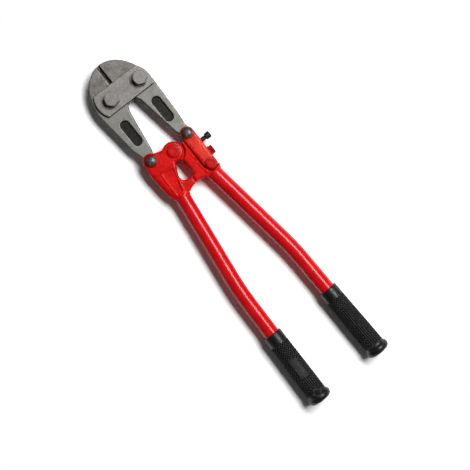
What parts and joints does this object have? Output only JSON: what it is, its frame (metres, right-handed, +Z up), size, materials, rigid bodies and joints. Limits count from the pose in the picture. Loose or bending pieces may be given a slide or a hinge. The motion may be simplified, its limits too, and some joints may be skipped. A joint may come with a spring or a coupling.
{
  "type": "bolt cutters",
  "caption": "Compound bolt cutters lying flat: forged jaws under link plates, toggle-linked heads with an adjusting lever, bent red tube handles, black rubber grips.",
  "frame": {"origin": "under the middle of the overall box, on the surface the tool lies on", "axes": "+Y along the tool towards the jaws, +Z up along the hinge axes, +X to the side with the adjusting screw"},
  "size_m": [0.153, 0.6102, 0.0411],
  "materials": {
    "forged_steel": "sand-blasted forging, matt",
    "plate_steel": "matt, lightly worn",
    "bolt_steel": "matt",
    "red_casting": "gloss paint over a forged surface",
    "red_tube": "gloss",
    "orange_paint": "gloss paint over a forged surface",
    "black_rubber": "satin",
    "black_oxide": "black oxide, satin",
    "dark_steel": "dark oxide, satin"
  },
  "bodies": {
    "link_plates": {"link_plate_front": "plate_steel", "link_plate_rear": "plate_steel", "jaw_bolts": "bolt_steel", "jaw_nuts": "bolt_steel"},
    "left_jaw": {"jaw_left": "forged_steel"},
    "left_handle": {"head_left": "red_casting", "tube_left": "red_tube", "grip_left": "black_rubber", "toggle_bolt_left": "dark_steel", "toggle_nut_left": "dark_steel", "centre_bolt": "red_casting", "centre_nut": "red_casting"},
    "right_jaw": {"jaw_right": "forged_steel"},
    "lever": {"adjusting_lever": "orange_paint", "toggle_bolt_right": "dark_steel", "toggle_nut_right": "dark_steel"},
    "right_handle": {"head_right": "red_casting", "tube_right": "red_tube", "grip_right": "black_rubber", "lever_bolt": "orange_paint", "lever_nut": "orange_paint"},
    "screw": {"adjusting_screw": "black_oxide"},
    "lock": {"lock_bolt": "orange_paint", "lock_washer": "orange_paint"}
  },
  "joints": [
    {"name": "left_jaw_open", "type": "hinge", "parent": "link_plates", "child": "left_jaw", "pos_m": [-0.0235, 0.24907, 0.019], "axis": [0, 0, 1], "range_deg": [0, 6.6]},
    {"name": "left_handle_open", "type": "hinge", "parent": "left_jaw", "child": "left_handle", "pos_m": [-0.035, 0.14007, 0.019], "axis": [0, 0, -1], "range_deg": [0, 42]},
    {"name": "right_jaw_open", "type": "hinge", "parent": "link_plates", "child": "right_jaw", "pos_m": [0.0305, 0.24907, 0.019], "axis": [0, 0, -1], "range_deg": [0, 5.2]},
    {"name": "right_handle_open", "type": "hinge", "parent": "right_jaw", "child": "lever", "pos_m": [0.035, 0.14007, 0.019], "axis": [0, 0, 1], "range_deg": [0, 42]},
    {"name": "lever_adjust", "type": "hinge", "parent": "lever", "child": "right_handle", "pos_m": [0.0346, 0.08107, 0.019], "axis": [0, 0, -1], "range_deg": [-0.94, 0.94]},
    {"name": "screw_turn", "type": "hinge", "parent": "right_handle", "child": "screw", "pos_m": [0.05, 0.11907, 0.019], "axis": [1, 0, 0], "range_deg": [-180, 180]},
    {"name": "lock_turn", "type": "hinge", "parent": "right_handle", "child": "lock", "pos_m": [0.05, 0.09807, 0.019], "axis": [1, 0, 0], "range_deg": [0, 360]}
  ],
  "couplings": [
    {"joint": "left_jaw_open", "follows": "left_handle_open", "ratio": 0.155},
    {"joint": "right_jaw_open", "follows": "left_handle_open", "ratio": 0.121},
    {"joint": "right_handle_open", "follows": "left_handle_open", "ratio": 1},
    {"joint": "screw_turn", "follows": "lever_adjust", "ratio": 191}
  ]
}
